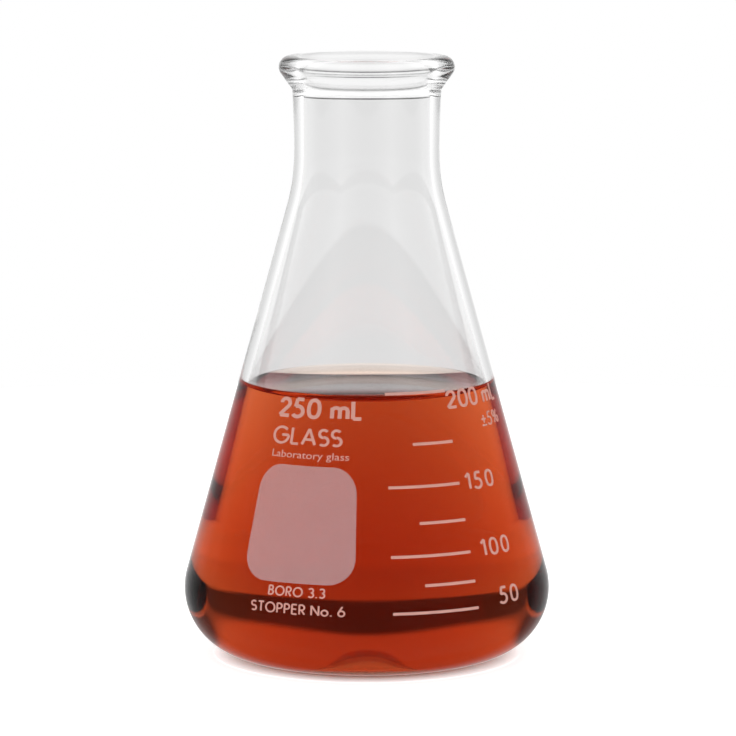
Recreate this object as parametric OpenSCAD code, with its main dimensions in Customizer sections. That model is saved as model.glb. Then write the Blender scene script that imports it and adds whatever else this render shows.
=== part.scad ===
// Conical laboratory flask of 250 mL nominal capacity, holding a liquid.
// One piece of blown glass, with a marking spot and graduation lines fired on
// the front in enamel. The base stands on the bench at z = 0, the axis is +Z,
// and the print faces -Y. Azimuths run from -Y towards +X.

/* [Body] */
// Outside diameter at the widest point, just above the base
body_od = 80.8; // [66:0.2:100]
// Height from the bench to the top of the lip
height = 132; // [124:0.5:165]
// Height at which the straight lines of the cone and of the neck would cross
shoulder_z = 105.1; // [86:0.1:112]
// Thickness of the cone's wall
body_wall = 2; // [1.2:0.1:3]
// Outside radius of the heel, where the base turns up into the cone
heel_r = 14.7; // [8:0.1:18]
// Outside radius of the sweep from the cone into the neck
shoulder_r = 42; // [20:1:75]

/* [Base] */
// Thickness of the base
base_t = 3.6; // [1.6:0.1:4.2]
// Height of the push-up in the middle of the base
punt_h = 3; // [0.4:0.1:4]
// Width of the flat ring on which the flask stands
foot_w = 2; // [1:0.1:4]

/* [Neck] */
// Outside diameter of the neck at its waist
neck_od = 31.8; // [30:0.1:38]
// Bore of the neck, which takes a rubber stopper of size 6
neck_bore = 27.8; // [23:0.1:28.6]
// How much the neck's outside radius grows from its waist to the bead
neck_flare = 0.4; // [0:0.05:1]

/* [Bead] */
// Outside diameter of the bead round the mouth
bead_od = 38.4; // [38:0.1:46]
// Height of the bead
bead_h = 7.2; // [6:0.1:10]
// Radius of the bead's outer edge
nose_r = 2.4; // [1.2:0.1:3]
// Radius of the edge between the lip and the bore
lip_r = 2; // [1:0.1:2.4]

/* [Contents] */
// Volume of liquid in the flask, in millilitres
fill_ml = 193; // [20:1:210]

/* [Print] */
// Thickness of the enamel
enamel_t = 0.1; // [0.05:0.01:0.2]
// Height of a graduation line
line_h = 0.6; // [0.3:0.1:1]
// Azimuth at which the lines of every 50 mL start
long_line_az = 8; // [0:0.5:15]
// Azimuth at which the lines between them start
short_line_az = 18.7; // [16:0.1:28]
// Azimuth at which all lines end
line_end_az = 36.3; // [30:0.1:60]
// Width of the marking spot
spot_w = 24; // [15:0.5:29]
// Height of the marking spot
spot_h = 24.3; // [15:0.1:30]
// Radius of the marking spot's corners
spot_r = 5.6; // [2:0.1:7]
// Height of the marking spot's middle above the bench
spot_z = 34.1; // [33:0.1:45]
// Azimuth of the marking spot's middle
spot_az = -23.4; // [-40:0.1:-20]

/* [Hidden] */
$fn = 96;

glass_colour = [0.88, 0.91, 0.92, 0.4];
liquid_colour = [0.70, 0.20, 0.05, 0.9];
enamel_colour = [0.95, 0.92, 0.90];

// Parts into which each arc of a profile is divided
arc_n = 12;
// Halvings of a range of heights that find a level to a few nanometres
halvings = 24;
// Every line of this many millilitres is a long one
long_every_ml = 50;
// How far the marking spot's outline is cut through, well past the enamel
cut_depth = body_od;

neck_r = neck_od / 2;
bore_r = neck_bore / 2;
// Outside radius of the flat ring on which the flask stands
ring_r = body_od / 2 - heel_r;

// The cone's line touches the heel's circle and passes through the point where
// it would cross the neck's line, so its slope follows from them
rise = shoulder_z - heel_r;
inset = ring_r - neck_r;
cone_angle = atan(inset / rise) + asin(heel_r / norm([inset, rise]));
// Horizontal thicknesses of the cone's wall and of the enamel on it
wall_x = body_wall / cos(cone_angle);
enamel_x = enamel_t / cos(cone_angle);

// Points along an arc, from angle a0 to a1
function arc(centre, r, a0, a1) = [
    for (i = [0:arc_n])
        let (a = a0 + (a1 - a0) * i / arc_n)
        centre + r * [cos(a), sin(a)]
];

// Points along the base, pushed up by punt_h in the middle and level at the foot
function floor_line(edge_r, z) = [
    for (i = [0:arc_n])
        [(edge_r - foot_w) * i / arc_n, z + punt_h * (1 + cos(180 * i / arc_n)) / 2]
];

// One side of the wall, from the middle of the base up to the neck's waist
function wall_line(edge_r, heel, z, sweep, neck, cross_z) = concat(
    floor_line(edge_r, z),
    arc([edge_r, z + heel], heel, -90, cone_angle),
    arc([neck + sweep, cross_z + sweep * tan(cone_angle / 2)], sweep, 180 + cone_angle, 180)
);

outer_line = wall_line(ring_r, heel_r, 0, shoulder_r, neck_r, shoulder_z);
inner_line = wall_line(
    ring_r + (base_t - body_wall) / cos(cone_angle), heel_r - base_t, base_t,
    shoulder_r + body_wall, bore_r,
    shoulder_z - (bore_r - neck_r + wall_x) / tan(cone_angle)
);

// The neck's outside widens as a parabola from its waist to the bead
waist_z = outer_line[len(outer_line) - 1].y;
bead_z = height - bead_h;
flare_line = [
    for (i = [1:arc_n])
        [neck_r + neck_flare * pow(i / arc_n, 2), waist_z + (bead_z - waist_z) * i / arc_n]
];

// The bead leaves the neck on a straight flank, then turns round its nose
bead_start = [neck_r + neck_flare, bead_z];
nose = [bead_od / 2 - nose_r, height - nose_r];
to_nose = nose - bead_start;
flank_angle = atan(to_nose.x / to_nose.y) + asin(nose_r / norm(to_nose));
nose_line = arc(nose, nose_r, -flank_angle, 90);

// The outside of the wall from the middle of the base up to the top of the lip
outside = concat(outer_line, flare_line, nose_line);

// The lip turns into the bore on a round edge
lip_line = arc([bore_r + lip_r, height - lip_r], lip_r, 90, 180);

function reversed(list) = [for (i = [len(list) - 1:-1:0]) list[i]];

// Radius of a wall at a height, from the points that come after the base's
function radius_at(line, z) =
    lookup(z, [for (i = [arc_n + 1:len(line) - 1]) [line[i].y, line[i].x]]);

// The inside of the flask up to a level
function wetted_line(z) =
    concat([for (p = inner_line) if (p.y < z) p], [[radius_at(inner_line, z), z]]);

// Volume that the flask holds up to a level, in millilitres
function sum(list, i = 0) = i < len(list) ? list[i] + sum(list, i + 1) : 0;
function capacity(z) =
    let (line = wetted_line(z))
    PI / 3000 * sum([
        for (i = [1:len(line) - 1])
            let (a = line[i - 1], b = line[i])
            (a.x * a.x + a.x * b.x + b.x * b.x) * (b.y - a.y)
    ]);

// Level to which a volume fills the flask
function level(ml, low = base_t + punt_h, high = height, n = halvings) =
    let (mid = (low + high) / 2)
    n == 0 ? mid
    : capacity(mid) < ml ? level(ml, mid, high, n - 1)
    : level(ml, low, mid, n - 1);

fill_z = level(fill_ml);

// Blown borosilicate glass: base, cone, neck and bead in one piece
module glass_flask() {
    color(glass_colour)
        rotate_extrude()
            polygon(concat(outside, lip_line, reversed(inner_line)));
}

// The contents, face to face with the inside of the wall
module liquid() {
    color(liquid_colour)
        rotate_extrude()
            polygon(concat(wetted_line(fill_z), [[0, fill_z]]));
}

// A sheet of enamel that follows the outside of the wall between two heights
// and two azimuths
module enamel_band(low_z, high_z, start_az, end_az) {
    edge = concat(
        [[radius_at(outside, low_z), low_z]],
        [
            for (i = [arc_n + 1:len(outside) - 1])
                if (outside[i].y > low_z && outside[i].y < high_z) outside[i]
        ],
        [[radius_at(outside, high_z), high_z]]
    );
    color(enamel_colour)
        rotate([0, 0, start_az - 90])
            rotate_extrude(angle = end_az - start_az)
                polygon(concat(edge, reversed([for (p = edge) p + [enamel_x, 0]])));
}

// The line of one volume, at the level to which that volume fills the flask
module line(ml) {
    z = level(ml);
    start_az = ml % long_every_ml == 0 ? long_line_az : short_line_az;
    enamel_band(z - line_h / 2, z + line_h / 2, start_az, line_end_az);
}

module rounded_rectangle(w, h, r) {
    corner = [w / 2 - r, h / 2 - r];
    polygon(concat(
        arc([corner.x, corner.y], r, 0, 90),
        arc([-corner.x, corner.y], r, 90, 180),
        arc([-corner.x, -corner.y], r, 180, 270),
        arc([corner.x, -corner.y], r, 270, 360)
    ));
}

// The patch that takes pencil, cut from a wider band of enamel
module marking_spot() {
    spot_span = 60;
    intersection() {
        enamel_band(
            spot_z - spot_h / 2, spot_z + spot_h / 2, spot_az - spot_span, spot_az + spot_span
        );
        rotate([90, 0, spot_az])
            translate([0, spot_z, 0])
                linear_extrude(height = cut_depth) rounded_rectangle(spot_w, spot_h, spot_r);
    }
}

glass_flask();
liquid();
marking_spot();
line(200);  // line_200
line(175);  // line_175
line(150);  // line_150
line(125);  // line_125
line(100);  // line_100
line(75);  // line_75
line(50);  // line_50
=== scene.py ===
import math

import bmesh
import bpy
from mathutils import Matrix, Vector


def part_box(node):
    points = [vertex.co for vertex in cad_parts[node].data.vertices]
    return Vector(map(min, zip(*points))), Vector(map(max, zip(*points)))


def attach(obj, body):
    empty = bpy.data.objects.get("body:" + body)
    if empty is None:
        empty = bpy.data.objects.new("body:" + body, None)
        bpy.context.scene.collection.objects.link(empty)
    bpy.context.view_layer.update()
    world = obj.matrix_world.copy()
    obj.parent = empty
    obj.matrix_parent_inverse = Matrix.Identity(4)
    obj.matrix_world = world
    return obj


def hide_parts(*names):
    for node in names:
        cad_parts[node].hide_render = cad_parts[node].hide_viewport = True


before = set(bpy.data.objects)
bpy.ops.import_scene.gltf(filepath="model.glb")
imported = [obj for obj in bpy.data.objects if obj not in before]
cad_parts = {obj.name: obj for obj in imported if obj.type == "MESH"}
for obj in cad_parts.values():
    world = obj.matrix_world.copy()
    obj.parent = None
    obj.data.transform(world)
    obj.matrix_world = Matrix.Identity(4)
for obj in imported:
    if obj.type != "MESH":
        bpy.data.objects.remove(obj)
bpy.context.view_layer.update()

bl_info = {
    "name": "Conical Flask",
    "version": (1, 0, 0),
    "blender": (4, 5, 0),
    "location": "View3D > Sidebar > Flask",
    "description": "Makes a printed conical flask with its liquid, round the fixed CAD frame",
    "category": "Object",
}

GLASS_LOW, GLASS_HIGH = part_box("glass_flask")
_, LIQUID_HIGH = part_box("liquid")
SPOT_LOW, SPOT_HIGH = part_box("marking_spot")
LINE_NODES = sorted(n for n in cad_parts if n.startswith("line_"))

GLASS_INDEX = 1.473
LIQUID_INDEX = 1.333

# Parts into which a full turn and each arc of a profile are divided
TURN_STEPS = 192
PUNT_STEPS = 10
HEEL_STEPS = 28
SHOULDER_STEPS = 14
FLARE_STEPS = 8
NOSE_STEPS = 18
LIP_STEPS = 12
MENISCUS_STEPS = 26
LINE_STEPS = 24
SPOT_STRIPS = 32
SPOT_CORNER_STEPS = 12
FLOOR_STEPS = 96

# How far a piece reaches into the glass on which it lies, so that no gap shows
SUNK = 0.00004
# Points of a profile that are closer than this become one
MERGE = 1e-6
# Height that marks the front of a flat drawing before it is wrapped round the cone
FRONT = 0.0001


# ---------------------------------------------------------------- properties

def length(name, description, default):
    return bpy.props.FloatProperty(
        name=name, description=description, default=default,
        min=0.0, precision=5, subtype="DISTANCE", unit="LENGTH")


def colour(name, description, default):
    return bpy.props.FloatVectorProperty(
        name=name, description=description, default=default,
        size=4, min=0.0, max=1.0, subtype="COLOR")


class FlaskShape(bpy.types.PropertyGroup):
    """Sizes of the glass"""
    body_diameter: length("Body diameter", "Across the widest part of the body",
                          GLASS_HIGH.x - GLASS_LOW.x)
    height: length("Height", "From the bench to the rim", GLASS_HIGH.z)
    shoulder_z: length("Shoulder height", "Where the cone's line crosses the neck's line", 0.1051)
    wall: length("Wall", "Thickness of the cone's wall", 0.002)
    heel_radius: length("Heel radius", "Rounding between the base and the cone", 0.0147)
    shoulder_radius: length("Shoulder radius", "Rounding between the cone and the neck", 0.042)
    base: length("Base thickness", "Thickness of the base", 0.0036)
    punt: length("Push-up", "How far the middle of the base is pushed up", 0.003)
    foot: length("Foot width", "Width of the flat ring that stands on the bench", 0.002)
    neck_diameter: length("Neck diameter", "Outside diameter of the neck at its waist", 0.0318)
    bore: length("Bore", "Inside diameter of the neck", 0.0278)
    flare: length("Neck flare", "Growth of the neck's radius from its waist to the bead", 0.0004)
    bead_diameter: length("Bead diameter", "Across the bead", 0.0384)
    bead_height: length("Bead height", "Height of the bead", 0.0072)
    nose_radius: length("Nose radius", "Rounding of the bead's nose", 0.0024)
    lip_radius: length("Lip radius", "Rounding of the mouth", 0.002)


class FlaskContents(bpy.types.PropertyGroup):
    """The liquid and its surface"""
    level: length("Level", "Height of the flat part of the surface", LIQUID_HIGH.z)
    climb: length("Climb", "How far the surface climbs at the glass", 0.0026)
    capillary: length("Capillary length", "Sets how fast the climb dies away", 0.0027)
    tint: colour("Tint", "Colour that the liquid lets through", (0.873, 0.48, 0.20, 1.0))
    strength: bpy.props.FloatProperty(
        name="Strength", description="Absorption per metre", default=100.0, min=0.0)


class FlaskPrint(bpy.types.PropertyGroup):
    """The fired enamel"""
    raise_by: length("Thickness", "How far the enamel stands out of the glass", 0.00009)
    spot_width: length("Spot width", "Width of the marking spot along the glass", 0.0245)
    spot_azimuth: bpy.props.FloatProperty(
        name="Spot azimuth", description="Turn of the marking spot from the front",
        default=math.radians(-23.4), subtype="ANGLE", unit="ROTATION")
    spot_radius: length("Spot corner", "Radius of the marking spot's corners", 0.0056)
    # Painted light: the enamel is white, and the pink of this colour is red light from the liquid
    # behind it; its alpha lets some real light through
    ink_with_painted_glow: colour("Enamel", "Colour of the lines and the lettering", (1.0, 0.55, 0.47, 0.62))
    # Painted light and shade: the spot's enamel is white, and this greyish pink is weak light from
    # the front and red light from the liquid behind; its alpha lets some real light through
    patch: colour("Spot", "Colour of the marking spot", (0.70, 0.50, 0.50, 0.34))


class FlaskStage(bpy.types.PropertyGroup):
    """Floor, light and camera"""
    distance: length("Distance", "From the camera to the flask", 0.95)
    tilt: bpy.props.FloatProperty(
        name="Tilt", description="Camera's angle above the horizon",
        default=math.radians(8.0), subtype="ANGLE", unit="ROTATION")
    aim: length("Aim", "Height on the axis at which the camera looks", 0.0633)
    aside: length("Aside", "How far beside the axis the camera looks", 0.00026)
    lens: bpy.props.FloatProperty(
        name="Lens", description="Focal length in millimetres", default=211.1, min=1.0)
    floor: colour("Floor", "Colour of the floor", (0.93, 0.93, 0.93, 1.0))
    floor_radius: length("Floor radius", "Radius of the floor", 0.42)
    # Painted light: the floor glows though it is no lamp, which washes out the shade on it
    painted_floor_light: bpy.props.FloatProperty(
        name="Floor glow", description="Light that comes up through the floor",
        default=0.75, min=0.0)
    # Inside this radius the painted glow fades out, so the floor's shade shows only round the
    # flask's foot
    painted_glow_start: length("Glow start", "Radius outside which the floor glows", 0.034)


# ------------------------------------------------------------------- helpers

class Pen:
    """Draws a chain of edges in the XZ plane, tip first"""

    def __init__(self, bm, x, z):
        self.bm = bm
        self.tip = bm.verts.new((x, 0.0, z))

    def line(self, x, z):
        made = bmesh.ops.extrude_vert_indiv(self.bm, verts=[self.tip])
        self.tip = made["verts"][0]
        self.tip.co = (x, 0.0, z)

    def arc(self, x, z, degrees, steps):
        made = bmesh.ops.spin(
            self.bm, geom=[self.tip], cent=(x, 0.0, z), axis=(0.0, -1.0, 0.0),
            dvec=(0.0, 0.0, 0.0), angle=math.radians(degrees), steps=steps)
        self.tip = [g for g in made["geom_last"] if isinstance(g, bmesh.types.BMVert)][0]


def lathe(bm):
    """Turns the chains in bm round the Z axis into a closed skin"""
    bmesh.ops.remove_doubles(bm, verts=bm.verts, dist=MERGE)
    for v in bm.verts:
        if abs(v.co.x) < 2 * MERGE:
            v.co.x = 0.0
    bmesh.ops.spin(
        bm, geom=bm.verts[:] + bm.edges[:], cent=(0.0, 0.0, 0.0), axis=(0.0, 0.0, 1.0),
        dvec=(0.0, 0.0, 0.0), angle=2.0 * math.pi, steps=TURN_STEPS, use_merge=True)
    bmesh.ops.remove_doubles(bm, verts=bm.verts, dist=MERGE)
    bmesh.ops.recalc_face_normals(bm, faces=bm.faces)


def finished(bm, name, material, smooth=True):
    """Closes off a bmesh as an object that rides on the flask"""
    mesh = bpy.data.meshes.new(name)
    for face in bm.faces:
        face.smooth = smooth
    bm.to_mesh(mesh)
    bm.free()
    made = bpy.data.objects.new(name, mesh)
    bpy.context.scene.collection.objects.link(made)
    for m in material if isinstance(material, list) else [material]:
        mesh.materials.append(m)
    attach(made, "root")
    return made


class Outline:
    """The flask's two lines, worked out from its sizes"""

    def __init__(self, s):
        self.s = s
        self.neck_r, self.bore_r = s.neck_diameter / 2, s.bore / 2
        self.ring_r = s.body_diameter / 2 - s.heel_radius
        rise, inset = s.shoulder_z - s.heel_radius, self.ring_r - self.neck_r
        self.cone = math.atan(inset / rise) + math.asin(s.heel_radius / math.hypot(inset, rise))
        self.heel_top = s.heel_radius * (1 + math.sin(self.cone))
        self.inner_ring_r = self.ring_r + (s.base - s.wall) / math.cos(self.cone)
        step_in = self.bore_r - self.neck_r + s.wall / math.cos(self.cone)
        self.inner_cross_z = s.shoulder_z - step_in / math.tan(self.cone)

    def outer_radius(self, z):
        """Outside radius at a height on the cone or the heel"""
        s = self.s
        if z < self.heel_top:
            drop = s.heel_radius - z
            return self.ring_r + math.sqrt(max(0.0, s.heel_radius ** 2 - drop ** 2))
        return self.neck_r + (s.shoulder_z - z) * math.tan(self.cone)

    def inner_radius(self, z):
        """Inside radius at a height on the cone"""
        return self.bore_r + (self.inner_cross_z - z) * math.tan(self.cone)

    def slope(self, z):
        """How far the wall leans from upright at a height"""
        s = self.s
        if z < self.heel_top:
            return math.asin(max(-1.0, min(1.0, (z - s.heel_radius) / s.heel_radius)))
        return self.cone

    def draw_wall(self, bm, heel, z, edge_r, stop=None, sweep=None, neck=None, cross_z=None):
        """Draws one side of the wall from the middle of the base up the cone to a stop, and on
        round the shoulder when the neck is given"""
        s = self.s
        b = edge_r - s.foot
        swing = 2 * math.atan(s.punt / b)
        curve = b / (2 * math.sin(swing))
        turn = math.degrees(swing)
        lean = math.degrees(self.cone)
        pen = Pen(bm, 0.0, z + s.punt)
        pen.arc(0.0, z + s.punt - curve, -turn, PUNT_STEPS)
        pen.arc(b, z + curve, turn, PUNT_STEPS)
        pen.line(edge_r, z)
        pen.arc(edge_r, z + heel, 90.0 + lean, HEEL_STEPS)
        if stop is not None:
            start = pen.tip.co
            pen.line(start.x - (stop - start.z) * math.tan(self.cone), stop)
        if neck is not None:
            centre_z = cross_z + sweep * math.tan(self.cone / 2)
            pen.line(neck + sweep - sweep * math.cos(self.cone),
                     centre_z - sweep * math.sin(self.cone))
            pen.arc(neck + sweep, centre_z, -lean, SHOULDER_STEPS)
        return pen

    def draw_outside(self, bm):
        """Draws the outside from the middle of the base, over the bead, to the edge of the bore"""
        s = self.s
        pen = self.draw_wall(bm, s.heel_radius, 0.0, self.ring_r,
                             sweep=s.shoulder_radius, neck=self.neck_r, cross_z=s.shoulder_z)
        waist = pen.tip.co.z
        bead_z = s.height - s.bead_height
        bend = 2 * math.atan(s.flare / (bead_z - waist))
        pen.arc(self.neck_r + (bead_z - waist) / math.sin(bend), waist, -math.degrees(bend),
                FLARE_STEPS)
        nose_x, nose_z = s.bead_diameter / 2 - s.nose_radius, s.height - s.nose_radius
        dx, dz = nose_x - pen.tip.co.x, nose_z - pen.tip.co.z
        flank = math.atan(dx / dz) + math.asin(s.nose_radius / math.hypot(dx, dz))
        pen.line(nose_x + s.nose_radius * math.cos(flank),
                 nose_z - s.nose_radius * math.sin(flank))
        pen.arc(nose_x, nose_z, math.degrees(flank) + 90.0, NOSE_STEPS)
        pen.line(self.bore_r + s.lip_radius, s.height)
        pen.arc(self.bore_r + s.lip_radius, s.height - s.lip_radius, 90.0, LIP_STEPS)

    def draw_inside(self, bm, wetline):
        """Draws the inside up to the lip, with a point where the liquid ends"""
        s = self.s
        pen = self.draw_wall(bm, s.heel_radius - s.base, s.base, self.inner_ring_r, stop=wetline,
                             sweep=s.shoulder_radius + s.wall, neck=self.bore_r,
                             cross_z=self.inner_cross_z)
        pen.line(self.bore_r, s.height - s.lip_radius)


def outline():
    return Outline(bpy.context.scene.flask_shape)


# ----------------------------------------------------------------- materials

# Height of the glass's waves at full strength, and how much its smears vary the roughness
WAVE_HEIGHT = 0.001
SMEAR = 0.4
# Scales of the enamel's grain and of its uneven patches
ENAMEL_GRAIN = (("Grain", 9000.0), ("Patches", 260.0))
ENAMEL_GRAIN_HEIGHT = 0.00003
# How far the enamel's colour, roughness and alpha vary over its surface
ENAMEL_DARKEST, ENAMEL_PALEST = 0.93, 1.05
ENAMEL_SMOOTHEST, ENAMEL_ROUGHEST = 0.38, 0.6
ENAMEL_UNEVEN = 0.04

def new_material(name):
    m = bpy.data.materials.new(name)
    m.use_nodes = True
    return m, m.node_tree, m.node_tree.nodes["Principled BSDF"]


def add_sockets(group, inputs, outputs):
    """Gives a node group its inputs, each with a default, and its outputs"""
    for name, default in inputs:
        socket = group.interface.new_socket(
            name, in_out="INPUT", socket_type="NodeSocketFloat")
        socket.default_value = default
    for name in outputs:
        group.interface.new_socket(name, in_out="OUTPUT", socket_type="NodeSocketFloat")


def waviness_group():
    """Faint waves of drawn glass, longer along the axis than across it"""
    found = bpy.data.node_groups.get("Drawn Waves")
    if found:
        return found
    g = bpy.data.node_groups.new("Drawn Waves", "ShaderNodeTree")
    add_sockets(g, (("Scale", 60.0), ("Stretch", 0.2), ("Detail", 2.0)), ("Height", "Smears"))
    n, l = g.nodes, g.links
    gin, gout = n.new("NodeGroupInput"), n.new("NodeGroupOutput")
    coords = n.new("ShaderNodeTexCoord")
    squeeze = n.new("ShaderNodeCombineXYZ")
    squeeze.inputs[0].default_value = squeeze.inputs[1].default_value = 1.0
    l.new(gin.outputs["Stretch"], squeeze.inputs[2])
    stretched = n.new("ShaderNodeVectorMath")
    stretched.operation = "MULTIPLY"
    l.new(coords.outputs["Object"], stretched.inputs[0])
    l.new(squeeze.outputs[0], stretched.inputs[1])
    waves = n.new("ShaderNodeTexNoise")
    l.new(stretched.outputs[0], waves.inputs["Vector"])
    l.new(gin.outputs["Scale"], waves.inputs["Scale"])
    l.new(gin.outputs["Detail"], waves.inputs["Detail"])
    l.new(waves.outputs["Fac"], gout.inputs["Height"])
    smears = n.new("ShaderNodeTexNoise")
    smears.inputs["Scale"].default_value = 35.0
    smears.inputs["Detail"].default_value = 5.0
    l.new(coords.outputs["Object"], smears.inputs["Vector"])
    l.new(smears.outputs["Fac"], gout.inputs["Smears"])
    return g


def glass_material(name, index, roughness=0.0, bump=0.0):
    """Clear glass, whose waves are raised by bump and whose smears vary the roughness"""
    m, nt, p = new_material(name)
    p.inputs["Base Color"].default_value = (1.0, 1.0, 1.0, 1.0)
    p.inputs["Metallic"].default_value = 0.0
    p.inputs["Transmission Weight"].default_value = 1.0
    p.inputs["IOR"].default_value = index
    p.inputs["Roughness"].default_value = roughness
    if bump:
        waves = nt.nodes.new("ShaderNodeGroup")
        waves.node_tree = waviness_group()
        b = nt.nodes.new("ShaderNodeBump")
        b.inputs["Strength"].default_value = bump
        b.inputs["Distance"].default_value = WAVE_HEIGHT
        nt.links.new(waves.outputs["Height"], b.inputs["Height"])
        nt.links.new(b.outputs["Normal"], p.inputs["Normal"])
        if roughness:
            smeared = spread(nt, waves.outputs["Smears"],
                             roughness * (1 - SMEAR), roughness * (1 + SMEAR))
            nt.links.new(smeared, p.inputs["Roughness"])
    return m


def liquid_material(name, index, contents):
    """Clear liquid that soaks up light along its way through"""
    m = glass_material(name, index)
    nt = m.node_tree
    soak = nt.nodes.new("ShaderNodeVolumeAbsorption")
    soak.inputs["Color"].default_value = contents.tint
    soak.inputs["Density"].default_value = contents.strength
    nt.links.new(soak.outputs["Volume"], nt.nodes["Material Output"].inputs["Volume"])
    return m


def grain_group():
    """Fine grain of fired enamel: a height, and a mask that is a little uneven"""
    found = bpy.data.node_groups.get("Fired Grain")
    if found:
        return found
    g = bpy.data.node_groups.new("Fired Grain", "ShaderNodeTree")
    add_sockets(g, ENAMEL_GRAIN, ("Height", "Mask"))
    gin, gout = g.nodes.new("NodeGroupInput"), g.nodes.new("NodeGroupOutput")
    coords = g.nodes.new("ShaderNodeTexCoord")
    for size, result, detail in (("Grain", "Height", 2.0), ("Patches", "Mask", 4.0)):
        noise = g.nodes.new("ShaderNodeTexNoise")
        noise.inputs["Detail"].default_value = detail
        g.links.new(coords.outputs["Object"], noise.inputs["Vector"])
        g.links.new(gin.outputs[size], noise.inputs["Scale"])
        g.links.new(noise.outputs["Fac"], gout.inputs[result])
    return g


def spread(nt, source, low, high):
    """Maps a noise's middle range onto two values"""
    ranged = nt.nodes.new("ShaderNodeMapRange")
    for socket, value in (("From Min", 0.3), ("From Max", 0.7), ("To Min", low), ("To Max", high)):
        ranged.inputs[socket].default_value = value
    nt.links.new(source, ranged.inputs["Value"])
    return ranged.outputs["Result"]


def enamel_material(name, tone, alpha):
    """Satin enamel with fine grain, which lets some light through"""
    m, nt, p = new_material(name)
    grain = nt.nodes.new("ShaderNodeGroup")
    grain.node_tree = grain_group()
    for socket, value in ENAMEL_GRAIN:
        grain.inputs[socket].default_value = value
    mix = nt.nodes.new("ShaderNodeMix")
    mix.data_type = "RGBA"
    mix.inputs["A"].default_value = [c * ENAMEL_DARKEST for c in tone[:3]] + [1.0]
    mix.inputs["B"].default_value = [min(1.0, c * ENAMEL_PALEST) for c in tone[:3]] + [1.0]
    nt.links.new(grain.outputs["Mask"], mix.inputs["Factor"])
    nt.links.new(mix.outputs["Result"], p.inputs["Base Color"])
    nt.links.new(spread(nt, grain.outputs["Mask"], ENAMEL_SMOOTHEST, ENAMEL_ROUGHEST),
                 p.inputs["Roughness"])
    bump = nt.nodes.new("ShaderNodeBump")
    bump.inputs["Strength"].default_value = 0.25
    bump.inputs["Distance"].default_value = ENAMEL_GRAIN_HEIGHT
    nt.links.new(grain.outputs["Height"], bump.inputs["Height"])
    nt.links.new(bump.outputs["Normal"], p.inputs["Normal"])
    if alpha < 1.0:
        low, high = alpha - ENAMEL_UNEVEN, alpha + ENAMEL_UNEVEN
        nt.links.new(spread(nt, grain.outputs["Height"], low, high), p.inputs["Alpha"])
    return m


# --------------------------------------------------------------------- glass

class FLASK_OT_glass(bpy.types.Operator):
    """Blow the flask: base, cone, neck and bead in one piece"""
    bl_idname = "flask.glass"
    bl_label = "Glass"

    def execute(self, context):
        line = outline()
        contents = context.scene.flask_contents
        wetline = contents.level + contents.climb
        # The inner floor lies below this height, and the bead's underside above the other
        floor_top = line.s.base * 4
        bead_foot = line.s.height - line.s.bead_height * 1.05
        bm = bmesh.new()
        line.draw_outside(bm)
        line.draw_inside(bm, wetline)
        lathe(bm)
        for face in bm.faces:
            c, n = face.calc_center_median(), face.normal
            inward = n.x * c.x + n.y * c.y < -1e-5 or (n.z > 0.5 and c.z < floor_top)
            if c.z > bead_foot:
                face.material_index = 2
            else:
                face.material_index = 1 if inward and c.z < wetline else 0
        glass = finished(bm, "glass_body", [
            glass_material("Borosilicate Glass", GLASS_INDEX, bump=0.02),
            glass_material("Wetted Glass", GLASS_INDEX / LIQUID_INDEX),
            glass_material("Fire-polished Bead", GLASS_INDEX, roughness=0.14, bump=0.02)])
        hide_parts("glass_flask")
        return {"FINISHED"}


class FLASK_OT_liquid(bpy.types.Operator):
    """Fill the flask with red liquid that climbs a little at the glass"""
    bl_idname = "flask.liquid"
    bl_label = "Liquid"

    def execute(self, context):
        line = outline()
        s, c = line.s, context.scene.flask_contents
        top = c.level + c.climb
        bm = bmesh.new()
        pen = line.draw_wall(bm, s.heel_radius - s.base + SUNK, s.base - SUNK, line.inner_ring_r,
                             stop=top)
        pen.line(line.inner_radius(top), top)
        steepest = math.acos(1 - c.climb ** 2 / (2 * c.capillary ** 2))

        def reach(angle):
            """How far from a plane wall the surface leans by an angle"""
            return c.capillary * (-math.log(math.tan(angle / 4)) - 2 * math.cos(angle / 2))

        # The last angle stays above 0, where the surface would reach on without end
        for i in range(1, MENISCUS_STEPS + 1):
            angle = steepest * (1 - i / (MENISCUS_STEPS + 0.6))
            pen.line(line.inner_radius(top) - (reach(angle) - reach(steepest)),
                     c.level + 2 * c.capillary * math.sin(angle / 2))
        pen.line(0.0, c.level)
        lathe(bm)
        for face in bm.faces:
            centre = face.calc_center_median()
            flat = centre.z > c.level - 1e-5 and face.normal.z > 0.2
            inside = math.hypot(centre.x, centre.y) < line.inner_radius(centre.z)
            face.material_index = 0 if flat and inside else 1
        liquid = finished(bm, "liquid_body", [
            liquid_material("Red Liquid", LIQUID_INDEX, c),
            liquid_material("Red Liquid At Glass", 1.0, c)])
        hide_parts("liquid")
        return {"FINISHED"}


# -------------------------------------------------------------------- enamel

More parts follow.
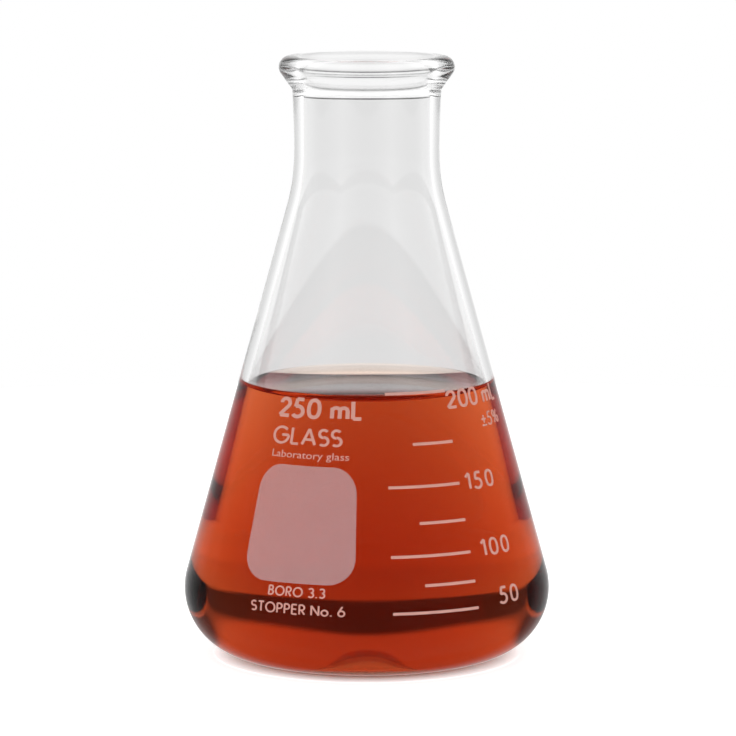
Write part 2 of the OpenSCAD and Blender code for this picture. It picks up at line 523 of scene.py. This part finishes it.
class FLASK_OT_lines(bpy.types.Operator):
    """Print the graduation lines"""
    bl_idname = "flask.lines"
    bl_label = "Graduation lines"

    def execute(self, context):
        line = outline()
        p = context.scene.flask_print
        # The lines and lettering share this enamel, whose pink is painted red light
        enamel = enamel_material("White Enamel", p.ink_with_painted_glow, p.ink_with_painted_glow[3])
        for node in LINE_NODES:
            low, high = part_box(node)
            start, end = math.atan2(low.x, -low.y), math.atan2(high.x, -high.y)
            bm = bmesh.new()
            corners = []
            for z, out in ((low.z, -SUNK), (low.z, p.raise_by),
                           (high.z, p.raise_by), (high.z, -SUNK)):
                r = line.outer_radius(z) + out
                corners.append(bm.verts.new((r * math.sin(start), -r * math.cos(start), z)))
            face = bm.faces.new(corners)
            bmesh.ops.spin(
                bm, geom=[face], cent=(0, 0, 0), axis=(0, 0, 1), dvec=(0, 0, 0),
                angle=end - start, steps=LINE_STEPS)
            bmesh.ops.recalc_face_normals(bm, faces=bm.faces)
            made = finished(bm, node.replace("line", "mark"), enamel, smooth=False)
            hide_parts(node)
        return {"FINISHED"}


def wrap(bm, line, azimuth, z0, raise_by):
    """Wraps a flat drawing in the XY plane round the cone, its Z going outwards"""
    for v in bm.verts:
        z = z0 + v.co.y
        r = line.outer_radius(z)
        a = azimuth + v.co.x / line.outer_radius(z0)
        out = raise_by if v.co.z > 0 else -SUNK
        r += out / math.cos(line.slope(z))
        v.co = (r * math.sin(a), -r * math.cos(a), z)


def thicken(bm):
    """Gives a flat drawing a back and sides, so that it becomes a closed sheet"""
    bmesh.ops.recalc_face_normals(bm, faces=bm.faces)
    for f in bm.faces:
        if f.normal.z < 0:
            f.normal_flip()
    faces = bm.faces[:]
    made = bmesh.ops.extrude_face_region(bm, geom=faces, use_keep_orig=True)
    top = [g for g in made["geom"] if isinstance(g, bmesh.types.BMVert)]
    bmesh.ops.translate(bm, verts=top, vec=(0, 0, FRONT))
    bmesh.ops.recalc_face_normals(bm, faces=bm.faces)


class FLASK_OT_spot(bpy.types.Operator):
    """Print the patch that takes pencil"""
    bl_idname = "flask.spot"
    bl_label = "Marking spot"

    def execute(self, context):
        line = outline()
        p = context.scene.flask_print
        z0 = (SPOT_LOW.z + SPOT_HIGH.z) / 2
        w, h = p.spot_width / 2, (SPOT_HIGH.z - SPOT_LOW.z) / 2
        bm = bmesh.new()
        corners = ((-w, -h), (w, -h), (w, h), (-w, h))
        bm.faces.new([bm.verts.new((x, y, 0)) for x, y in corners])
        bmesh.ops.bevel(bm, geom=bm.verts[:], offset=p.spot_radius, segments=SPOT_CORNER_STEPS,
                        profile=0.5, affect="VERTICES", material=-1)
        for i in range(1, SPOT_STRIPS):
            bmesh.ops.bisect_plane(
                bm, geom=bm.verts[:] + bm.edges[:] + bm.faces[:], dist=1e-7,
                plane_co=(-w + 2 * w * i / SPOT_STRIPS, 0, 0), plane_no=(1, 0, 0))
        thicken(bm)
        wrap(bm, line, p.spot_azimuth, z0, p.raise_by)
        # The spot's colour carries painted shade and painted red light
        enamel = enamel_material("Spot Enamel", p.patch, p.patch[3])
        spot = finished(bm, "spot", enamel, smooth=False)
        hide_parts("marking_spot")
        return {"FINISHED"}


# ----------------------------------------------------------------- lettering

# How much broader the printed letters are than they are drawn
BROAD = 1.2


def bar(x0, y0, x1, y1):
    """A straight stroke"""
    return x0, y0, math.degrees(math.atan2(y1 - y0, x1 - x0)), (math.hypot(x1 - x0, y1 - y0),)


def run(x, y, heading, *moves):
    """A stroke that starts at a point with a heading: a number goes straight on, and a pair is
    a radius and a turn to the left"""
    return x, y, heading, moves


def oval(x, y, wide, high, end):
    """An upright oval, closed, from two flat arcs and two round ends"""
    a, b = wide / 2, high / 2
    flat = (a * a + (b - end) ** 2 - end * end) / (2 * (a - end))
    lean = math.degrees(math.atan2(b - end, flat - a))
    return run(x + wide, y + b, 90.0, (flat, lean), (end, 180 - 2 * lean), (flat, 2 * lean),
               (end, 180 - 2 * lean), (flat, lean))


def ring(x, y, radius):
    """A round letter's one stroke"""
    return run(x + 2 * radius, y + radius, 90.0, (radius, 360.0))


# Each letter has its width and its strokes, on a line 1 high along the strokes' middles
LETTERS = {
    " ": (0.12, []),
    "0": (0.60, [oval(0.0, 0.0, 0.60, 1.0, 0.26)]),
    "1": (0.30, [bar(0.03, 0.78, 0.30, 1.02), bar(0.30, 1.0, 0.30, 0.0)]),
    "2": (0.58, [run(0.03, 0.72, 90.0, (0.26, -222.0), 0.72), bar(0.03, 0.0, 0.58, 0.0)]),
    "3": (0.52, [run(0.04, 0.88, 60.0, (0.24, -240.0)), run(0.26, 0.52, 0.0, (0.26, -235.0))]),
    "5": (0.56, [bar(0.52, 1.0, 0.12, 1.0), bar(0.14, 1.0, 0.06, 0.55),
                 run(0.06, 0.56, 28.0, (0.31, -262.0))]),
    "6": (0.56, [ring(0.0, 0.0, 0.28), bar(0.04, 0.43, 0.36, 1.0)]),
    "A": (0.76, [bar(0.0, 0.0, 0.38, 1.0), bar(0.76, 0.0, 0.38, 1.0),
                 bar(0.13, 0.32, 0.63, 0.32)]),
    "B": (0.50, [bar(0.0, 0.0, 0.0, 1.0), run(0.0, 1.0, 0.0, 0.2, (0.235, -180.0), 0.2),
                 run(0.0, 0.53, 0.0, 0.235, (0.265, -180.0), 0.235)]),
    "E": (0.46, [bar(0.0, 0.0, 0.0, 1.0), bar(0.0, 1.0, 0.46, 1.0), bar(0.0, 0.52, 0.42, 0.52),
                 bar(0.0, 0.0, 0.46, 0.0)]),
    "G": (0.96, [run(0.86, 0.84, 135.0, (0.5, 315.0)), bar(1.0, 0.5, 0.56, 0.5)]),
    "L": (0.42, [bar(0.0, 0.0, 0.0, 1.0), bar(0.0, 0.0, 0.42, 0.0)]),
    "N": (0.68, [bar(0.0, 0.0, 0.0, 1.0), bar(0.0, 1.0, 0.68, 0.0), bar(0.68, 0.0, 0.68, 1.0)]),
    "O": (0.92, [oval(0.0, 0.0, 0.92, 1.0, 0.44)]),
    "P": (0.48, [bar(0.0, 0.0, 0.0, 1.0), run(0.0, 1.0, 0.0, 0.21, (0.27, -180.0), 0.21)]),
    "R": (0.50, [bar(0.0, 0.0, 0.0, 1.0), run(0.0, 1.0, 0.0, 0.21, (0.27, -180.0), 0.21),
                 bar(0.2, 0.46, 0.5, 0.0)]),
    "S": (0.48, [run(0.42, 0.87, 125.0, (0.245, 235.0)), run(0.24, 0.52, 0.0, (0.26, -225.0))]),
    "T": (0.56, [bar(0.0, 1.0, 0.56, 1.0), bar(0.28, 0.0, 0.28, 1.0)]),
    "m": (0.80, [bar(0.0, 0.0, 0.0, 0.62), run(0.0, 0.42, 90.0, (0.2, -180.0), 0.42),
                 run(0.4, 0.42, 90.0, (0.2, -180.0), 0.42)]),
    "o": (0.58, [ring(0.0, 0.0, 0.29)]),
    ".": (0.06, [bar(0.03, -0.04, 0.03, 0.06)]),
    "%": (0.90, [oval(0.0, 0.52, 0.34, 0.48, 0.16), oval(0.56, 0.0, 0.34, 0.48, 0.16),
                 bar(0.14, 0.0, 0.76, 1.0)]),
    # Stands for a plus over a minus
    "+": (0.58, [bar(0.0, 0.52, 0.58, 0.52), bar(0.29, 0.84, 0.29, 0.2),
                 bar(0.0, 0.0, 0.58, 0.0)]),
}


def draw_stroke(bm, nib, scale, origin, stroke):
    """Moves a nib along a stroke and leaves a flat ribbon"""
    x, y, heading, moves = stroke
    at = origin + Vector((x, y, 0.0)) * scale
    for move in moves:
        way = Vector((math.cos(math.radians(heading)), math.sin(math.radians(heading)), 0.0))
        left = Vector((-way.y, way.x, 0.0))
        tips = [bm.verts.new(at + left * nib / 2), bm.verts.new(at - left * nib / 2)]
        edge = bm.edges.new(tips)
        if isinstance(move, tuple):
            radius, turn = move[0] * scale, math.radians(move[1])
            centre = at + left * math.copysign(radius, turn)
            bmesh.ops.spin(bm, geom=[edge, *tips], cent=centre, axis=(0.0, 0.0, 1.0),
                           dvec=(0.0, 0.0, 0.0), angle=turn, steps=max(2, round(abs(turn) * 4)))
            at = centre + Matrix.Rotation(turn, 3, "Z") @ (at - centre)
            heading += move[1]
        else:
            made = bmesh.ops.extrude_edge_only(bm, edges=[edge])
            new = [g for g in made["geom"] if isinstance(g, bmesh.types.BMVert)]
            bmesh.ops.translate(bm, verts=new, vec=way * move * scale)
            at = at + way * move * scale


def draw_words(bm, words, width, height, nib):
    """Writes words from the origin in broad letters, spaced out to fill a width"""
    scale = height - nib
    natural = sum(LETTERS[c][0] for c in words) * scale + nib
    space = (width / BROAD - natural) / (len(words) - 1)
    x = nib / 2
    for c in words:
        for stroke in LETTERS[c][1]:
            draw_stroke(bm, nib, scale, Vector((x, nib / 2, 0.0)), stroke)
        x += LETTERS[c][0] * scale + space
    bmesh.ops.scale(bm, verts=bm.verts, vec=(BROAD, 1.0, 1.0))
    bmesh.ops.remove_doubles(bm, verts=bm.verts, dist=1e-7)


# Each print's name, words, the node beside it and whether the height is counted from that node's
# top or foot, then from there its lowest and highest point, the azimuths of its ends in degrees
# and the width of its strokes
WORDS = (
    ("label_volume", "250 mL", "marking_spot", "top", 0.0098, 0.0141, -40.4, -1.4, 0.00074),
    ("label_glass", "GLASS", "marking_spot", "top", 0.0042, 0.0080, -41.0, -9.8, 0.00052),
    ("label_kind", "BORO 3.3", "marking_spot", "foot", -0.0028, -0.0007, -32.2, -12.9, 0.0003),
    ("label_stopper", "STOPPER No. 6", "marking_spot", "foot", -0.0065, -0.0042, -37.9, -6.5,
     0.00032),
    ("scale_200", "200 mL", "line_200", "foot", -0.0036, 0.0004, 36.4, 74.0, 0.0006),
    ("scale_error", "+5%", "line_200", "foot", -0.0083, -0.0054, 55.5, 71.5, 0.00036),
    ("scale_150", "150", "line_150", "foot", -0.0014, 0.0023, 39.0, 54.8, 0.00052),
    ("scale_100", "100", "line_100", "foot", -0.0011, 0.0026, 40.8, 55.3, 0.00052),
    ("scale_50", "50", "line_50", "foot", 0.0002, 0.0039, 45.4, 54.6, 0.00052),
)
SMALL_WORDS = ("label_small", "Laboratory glass", "marking_spot", "top", 0.0015, 0.00295,
               -39.8, -6.8)


class FLASK_OT_words(bpy.types.Operator):
    """Print the lettering"""
    bl_idname = "flask.words"
    bl_label = "Lettering"

    def execute(self, context):
        line = outline()
        p = context.scene.flask_print
        # The lettering takes the lines' enamel with its painted red light
        enamel = bpy.data.materials["White Enamel"]
        for name, words, node, side, low, high, start, end, nib in WORDS:
            low, high, start, width = self.place(line, node, side, low, high, start, end)
            bm = bmesh.new()
            draw_words(bm, words, width, high - low, nib)
            self.print_on(bm, name, line, start, low, p.raise_by, enamel)
        name, words, *place = SMALL_WORDS
        low, high, start, width = self.place(line, *place)
        bm = self.small_print(words, width, high - low)
        self.print_on(bm, name, line, start, low, p.raise_by, enamel)
        return {"FINISHED"}

    def place(self, line, node, side, low, high, start, end):
        """Finds a print's heights, its first azimuth and its width along the glass"""
        foot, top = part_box(node)
        z = top.z if side == "top" else foot.z
        start, end = math.radians(start), math.radians(end)
        return z + low, z + high, start, (end - start) * line.outer_radius(z + low)

    def small_print(self, words, width, height):
        """Writes the smallest line, which is too fine for strokes, in Blender's own font"""
        curve = bpy.data.curves.new("small", "FONT")
        curve.body = words
        curve.resolution_u = 3
        text = bpy.data.objects.new("small", curve)
        bpy.context.scene.collection.objects.link(text)
        bpy.context.view_layer.update()
        flat = bpy.data.meshes.new_from_object(
            text.evaluated_get(bpy.context.evaluated_depsgraph_get()))
        bpy.data.objects.remove(text)
        bpy.data.curves.remove(curve)
        bm = bmesh.new()
        bm.from_mesh(flat)
        bpy.data.meshes.remove(flat)
        bmesh.ops.remove_doubles(bm, verts=bm.verts, dist=1e-5)
        low_x, high_x = min(v.co.x for v in bm.verts), max(v.co.x for v in bm.verts)
        high_y = max(v.co.y for v in bm.verts)
        bmesh.ops.translate(bm, verts=bm.verts, vec=(-low_x, 0.0, 0.0))
        bmesh.ops.scale(bm, verts=bm.verts, vec=(width / (high_x - low_x), height / high_y, 1.0))
        return bm

    def print_on(self, bm, name, line, start, low, raise_by, enamel):
        """Lays a flat drawing on the cone as a piece of its own"""
        thicken(bm)
        wrap(bm, line, start, low, raise_by)
        made = finished(bm, name, enamel, smooth=False)


# --------------------------------------------------------------------- stage

# Tones of the room seen through glass, then of what stands in front and overhead in reflections,
# each at a place on its direction from 0 to 1
THROUGH_TONES = (
    (0.0, 1.15), (0.09, 1.15), (0.146, 0.8), (0.228, 0.8), (0.265, 0.93), (0.409, 0.92),
    (0.424, 0.79), (0.50, 0.80), (0.578, 0.95), (0.67, 1.0), (0.85, 1.5))
BACKDROP_TONES = ((0.0, 0.04), (0.8, 0.05), (0.9, 0.25), (0.965, 0.5), (0.99, 0.9))
OVERHEAD_TONES = ((0.0, 0.04), (0.73, 0.04), (0.85, 0.9), (1.0, 1.1))
# The dark gap's lower and upper edge: how fast each rises towards a corner, and where it starts
GAP_LOW_RISE, GAP_LOW = 0.5, 0.014
GAP_HIGH_RISE, GAP_HIGH = 0.30, 0.142
GAP_SOFTNESS = 0.014
GAP_DIMMING = 0.84
# How much brighter the room grows towards its corners
CORNER_GAIN = 1.75
# Tones are kept at half of what they are, because a ramp holds none above 1
ROOM_STRENGTH = 2.0

class FLASK_OT_stage(bpy.types.Operator):
    """Set up the floor, the light and the camera"""
    bl_idname = "flask.stage"
    bl_label = "Stage"

    def execute(self, context):
        scene, st = context.scene, context.scene.flask_stage
        white = self.floor_material(st)
        # The middle disc, where the painted glow fades out, is the only floor seen through the
        # glass
        for name, radius, drop in (("floor", st.floor_radius, 0.00012),
                                   ("floor_middle", st.painted_glow_start, 0.0001)):
            bm = bmesh.new()
            bmesh.ops.create_circle(bm, cap_ends=True, segments=FLOOR_STEPS, radius=radius)
            bmesh.ops.translate(bm, verts=bm.verts, vec=(0.0, 0.0, -drop))
            floor = self.stand(bm, name, white)
            floor.visible_transmission = name == "floor_middle"
            floor.visible_glossy = False

        self.light_room(scene)

        scene.view_settings.view_transform = "Standard"
        scene.cycles.max_bounces = 32
        scene.cycles.transmission_bounces = 32
        scene.cycles.glossy_bounces = 12
        scene.cycles.transparent_max_bounces = 16

        cam = bpy.data.cameras.new("camera")
        cam.lens, cam.sensor_width = st.lens, 36.0
        cam.clip_start, cam.clip_end = 0.05, 20.0
        eye = bpy.data.objects.new("camera", cam)
        scene.collection.objects.link(eye)
        back_way = Vector((0.0, -math.cos(st.tilt), math.sin(st.tilt)))
        eye.location = Vector((st.aside, 0.0, st.aim)) + back_way * st.distance
        eye.rotation_mode = "QUATERNION"
        eye.rotation_quaternion = (-back_way).to_track_quat("-Z", "Y")
        scene.camera = eye
        return {"FINISHED"}

    def light_room(self, scene):
        """White room with a dark gap above the bench, which only the liquid's lens brings in.
        It has four like sides, so it looks the same through the glass from each of them."""
        world = bpy.data.worlds.new("Studio")
        scene.world = world
        world.use_nodes = True
        nt = world.node_tree
        back = nt.nodes["Background"]
        coords = nt.nodes.new("ShaderNodeTexCoord")
        split = nt.nodes.new("ShaderNodeSeparateXYZ")
        nt.links.new(coords.outputs["Generated"], split.inputs[0])
        x, y, z = split.outputs

        # How far a direction turns from the nearest side: 0 at the side and 0.29 between two
        squares = self.maths(nt, "ADD", self.maths(nt, "MULTIPLY", x, x),
                             self.maths(nt, "MULTIPLY", y, y))
        across = self.maths(nt, "SQRT", squares)
        nearest = self.maths(nt, "MAXIMUM", self.maths(nt, "ABSOLUTE", x),
                             self.maths(nt, "ABSOLUTE", y))
        turned = self.maths(nt, "SUBTRACT", 1.0, self.maths(nt, "DIVIDE", nearest, across))

        walls = self.ramp(nt, z, THROUGH_TONES)
        above = self.edge(nt, z, self.maths(nt, "MULTIPLY_ADD", turned, GAP_LOW_RISE, GAP_LOW))
        below = self.edge(nt, z, self.maths(nt, "MULTIPLY_ADD", turned, GAP_HIGH_RISE, GAP_HIGH))
        gap = self.maths(nt, "SUBTRACT", above, self.maths(nt, "MINIMUM", above, below))
        dim = self.maths(nt, "MULTIPLY_ADD", gap, -GAP_DIMMING, 1.0)
        gain = self.maths(nt, "MULTIPLY_ADD", turned, CORNER_GAIN, 1.0)
        through = nt.nodes.new("ShaderNodeVectorMath")
        through.operation = "SCALE"
        nt.links.new(walls, through.inputs[0])
        nt.links.new(self.maths(nt, "MULTIPLY", dim, gain), through.inputs["Scale"])

        backdrop = self.ramp(nt, y, BACKDROP_TONES)
        overhead = self.ramp(nt, z, OVERHEAD_TONES)
        mirrored = self.maths(nt, "MAXIMUM", backdrop, overhead)
        path = nt.nodes.new("ShaderNodeLightPath")
        tone = self.pick(nt, path.outputs["Is Reflection Ray"], through.outputs[0], mirrored)
        tone = self.pick(nt, path.outputs["Is Camera Ray"], tone, None)
        nt.links.new(tone, back.inputs["Color"])
        back.inputs["Strength"].default_value = ROOM_STRENGTH

    def maths(self, nt, operation, *values):
        """Works out one step on numbers and sockets"""
        node = nt.nodes.new("ShaderNodeMath")
        node.operation = operation
        for socket, value in zip(node.inputs, values):
            if isinstance(value, float):
                socket.default_value = value
            else:
                nt.links.new(value, socket)
        return node.outputs[0]

    def edge(self, nt, value, at):
        """0 below a height and 1 above it, with a soft edge"""
        node = nt.nodes.new("ShaderNodeMapRange")
        node.interpolation_type = "SMOOTHSTEP"
        nt.links.new(value, node.inputs["Value"])
        nt.links.new(self.maths(nt, "SUBTRACT", at, GAP_SOFTNESS), node.inputs["From Min"])
        nt.links.new(self.maths(nt, "ADD", at, GAP_SOFTNESS), node.inputs["From Max"])
        return node.outputs["Result"]

    def ramp(self, nt, value, stops):
        """Tones along a direction, from -1 at place 0 to 1 at place 1"""
        ramp = nt.nodes.new("ShaderNodeValToRGB")
        nt.links.new(self.maths(nt, "MULTIPLY_ADD", value, 0.5, 0.5), ramp.inputs["Fac"])
        for i, (at, tone) in enumerate(stops):
            e = ramp.color_ramp.elements[i] if i < 2 else ramp.color_ramp.elements.new(at)
            e.position = at
            kept = tone / ROOM_STRENGTH
            e.color = (kept, kept, kept, 1.0)
        return ramp.outputs["Color"]

    def pick(self, nt, factor, first, second):
        """The first tone, or the second where the factor is 1, which is white if not given"""
        mix = nt.nodes.new("ShaderNodeMix")
        mix.data_type = "RGBA"
        nt.links.new(factor, mix.inputs["Factor"])
        nt.links.new(first, mix.inputs["A"])
        if second is None:
            white = 1.0 / ROOM_STRENGTH
            mix.inputs["B"].default_value = (white, white, white, 1.0)
        else:
            nt.links.new(second, mix.inputs["B"])
        return mix.outputs["Result"]

    def floor_material(self, st):
        """Matt white with a painted glow, though the floor is no lamp, which washes out the shade
        on it, apart from the place where the flask stands
        """
        m, nt, p = new_material("Pale Floor")
        p.inputs["Base Color"].default_value = st.floor
        p.inputs["Roughness"].default_value = 0.7
        p.inputs["Specular IOR Level"].default_value = 0.1
        p.inputs["Emission Color"].default_value = (1.0, 1.0, 1.0, 1.0)
        coords = nt.nodes.new("ShaderNodeTexCoord")
        radius = nt.nodes.new("ShaderNodeVectorMath")
        radius.operation = "LENGTH"
        nt.links.new(coords.outputs["Object"], radius.inputs[0])
        # Painted light: no glow at the flask's foot, rising to full a little outside it
        glow = nt.nodes.new("ShaderNodeMapRange")
        for socket, value in (("From Min", st.painted_glow_start - 0.007), ("From Max", st.painted_glow_start),
                              ("To Min", 0.0), ("To Max", st.painted_floor_light)):
            glow.inputs[socket].default_value = value
        nt.links.new(radius.outputs["Value"], glow.inputs["Value"])
        nt.links.new(glow.outputs["Result"], p.inputs["Emission Strength"])
        return m

    def stand(self, bm, name, material):
        """Closes off a bmesh as a piece of the stage"""
        mesh = bpy.data.meshes.new(name)
        bm.to_mesh(mesh)
        bm.free()
        mesh.materials.append(material)
        made = bpy.data.objects.new(name, mesh)
        bpy.context.scene.collection.objects.link(made)
        return made


class FLASK_PT_panel(bpy.types.Panel):
    """Lists the flask's pieces"""
    bl_idname = "FLASK_PT_panel"
    bl_label = "Conical Flask"
    bl_space_type = "VIEW_3D"
    bl_region_type = "UI"
    bl_category = "Flask"

    def draw(self, context):
        for op in OPERATORS:
            self.layout.operator(op.bl_idname)


OPERATORS = (FLASK_OT_glass, FLASK_OT_liquid, FLASK_OT_spot, FLASK_OT_lines, FLASK_OT_words,
             FLASK_OT_stage)
GROUPS = {"flask_shape": FlaskShape, "flask_contents": FlaskContents,
          "flask_print": FlaskPrint, "flask_stage": FlaskStage}


def register():
    for cls in (*GROUPS.values(), *OPERATORS, FLASK_PT_panel):
        bpy.utils.register_class(cls)
    for name, cls in GROUPS.items():
        setattr(bpy.types.Scene, name, bpy.props.PointerProperty(type=cls))


def unregister():
    for name in GROUPS:
        delattr(bpy.types.Scene, name)
    for cls in reversed((*GROUPS.values(), *OPERATORS, FLASK_PT_panel)):
        bpy.utils.unregister_class(cls)


def main():
    register()
    for make in (bpy.ops.flask.glass, bpy.ops.flask.liquid, bpy.ops.flask.spot,
                 bpy.ops.flask.lines, bpy.ops.flask.words, bpy.ops.flask.stage):
        if make() != {"FINISHED"}:
            raise RuntimeError("a piece was not finished")


if __name__ == "__main__":
    main()
